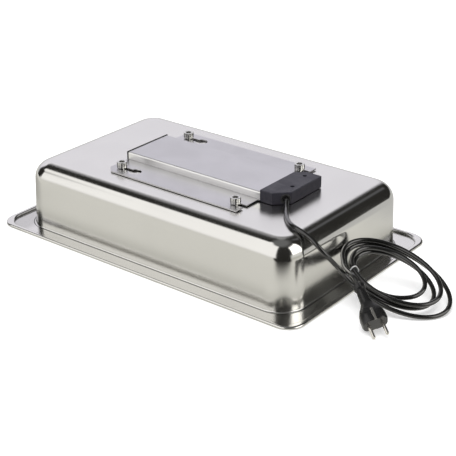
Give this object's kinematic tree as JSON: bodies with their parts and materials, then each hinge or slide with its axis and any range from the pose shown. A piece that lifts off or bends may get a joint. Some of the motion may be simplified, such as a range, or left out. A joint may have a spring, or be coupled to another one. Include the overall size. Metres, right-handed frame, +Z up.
{
  "type": "electrically heated water pan",
  "caption": "Deep rectangular water pan with a rolled rim, shown bottom up, with a flat electric heater hooked on screws by keyholes, and a coiled lead with plug.",
  "frame": {"origin": "the middle of the pan's rim, on the surface that the rim lies on", "axes": "+X along the pan's long sides towards the lead's end, +Y across the pan, +Z up towards the heater on the pan's bottom"},
  "size_m": [0.7088, 0.3658, 0.1235],
  "materials": {
    "stainless": "polished drawn sheet",
    "bright_steel": "bright, ridged",
    "satin_steel": "matt, fine grain",
    "aluminium": "plain plate",
    "element_sheath": "heat-dulled tube",
    "insulation": "fibre mat",
    "black_moulding": "matt moulding",
    "black_rubber": "soft black",
    "cord_sheath": "smooth flexible sheath",
    "nickel": "bright plating",
    "pale_wire": "coated wire",
    "ceramic": "unglazed",
    "lead_brown": "insulated lead",
    "lead_green": "insulated lead",
    "lead_blue": "insulated lead"
  },
  "bodies": {
    "root": {"water_pan": "stainless", "stud_1": "bright_steel", "stud_2": "bright_steel", "stud_3": "bright_steel", "stud_4": "bright_steel", "cap_screw_1": "bright_steel", "cap_screw_2": "bright_steel", "cap_screw_3": "bright_steel", "cap_screw_4": "bright_steel", "cord_run": "cord_sheath", "cord_coil": "cord_sheath", "cord_tie": "pale_wire", "plug_body": "black_moulding", "plug_pin_1": "nickel", "plug_pin_2": "nickel", "earth_clip_1": "nickel", "earth_clip_2": "nickel"},
    "heater": {"heater_cover": "satin_steel", "end_cap": "black_rubber", "spreader_plate": "aluminium", "heating_element": "element_sheath", "element_strap_1": "satin_steel", "element_strap_2": "satin_steel", "insulation_mat": "insulation", "thermostat": "ceramic", "thermal_fuse": "nickel", "housing_cover": "black_moulding", "housing_base": "black_moulding", "housing_screw_1": "bright_steel", "housing_screw_2": "bright_steel", "cable_gland": "black_rubber", "terminal_block": "ceramic", "inner_lead_1": "lead_brown", "inner_lead_2": "lead_green", "inner_lead_3": "lead_blue"}
  },
  "joints": [
    {"name": "heater_slide", "type": "slide", "parent": "root", "child": "heater", "axis": [-1, 0, 0], "range_m": [0, 0.027], "deforming": ["cord_run"]}
  ]
}
